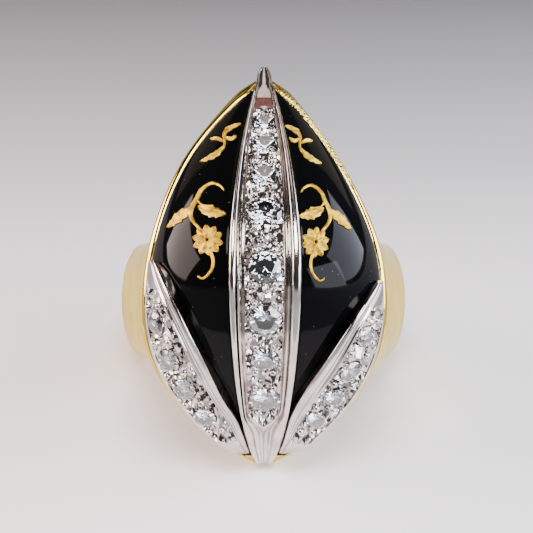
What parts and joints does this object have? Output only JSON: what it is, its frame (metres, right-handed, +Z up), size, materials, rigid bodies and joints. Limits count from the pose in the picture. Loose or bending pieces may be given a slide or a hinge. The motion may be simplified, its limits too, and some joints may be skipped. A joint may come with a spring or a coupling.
{
  "type": "tulip ring",
  "caption": "Domed tulip-bud finger ring of yellow gold with black enamel, gold flower inlays, and a white-gold band and leaves set with round diamonds.",
  "frame": {"origin": "on the surface it rests on, under the middle of its overall box", "axes": "+Z up; +X to the ring's left-hand side as worn, seen as right in the front view; -Y is where the domed front faces"},
  "size_m": [0.0216, 0.0273, 0.0256],
  "materials": {
    "yellow_gold": "polished",
    "white_gold": "polished",
    "black_enamel": "glossy",
    "diamond": "polished"
  },
  "bodies": {
    "root": {"gold_shank_and_shell": "yellow_gold", "enamel_left": "black_enamel", "enamel_right": "black_enamel", "centre_band": "white_gold", "leaf_left": "white_gold", "leaf_right": "white_gold", "spray_left": "yellow_gold", "spray_right": "yellow_gold", "sprig_left": "yellow_gold", "sprig_right": "yellow_gold", "centre_stone_1": "diamond", "centre_stone_2": "diamond", "centre_stone_3": "diamond", "centre_stone_4": "diamond", "centre_stone_5": "diamond", "centre_stone_6": "diamond", "centre_stone_7": "diamond", "centre_stone_8": "diamond", "left_stone_1": "diamond", "left_stone_2": "diamond", "left_stone_3": "diamond", "left_stone_4": "diamond", "right_stone_1": "diamond", "right_stone_2": "diamond", "right_stone_3": "diamond", "right_stone_4": "diamond"}
  },
  "joints": []
}
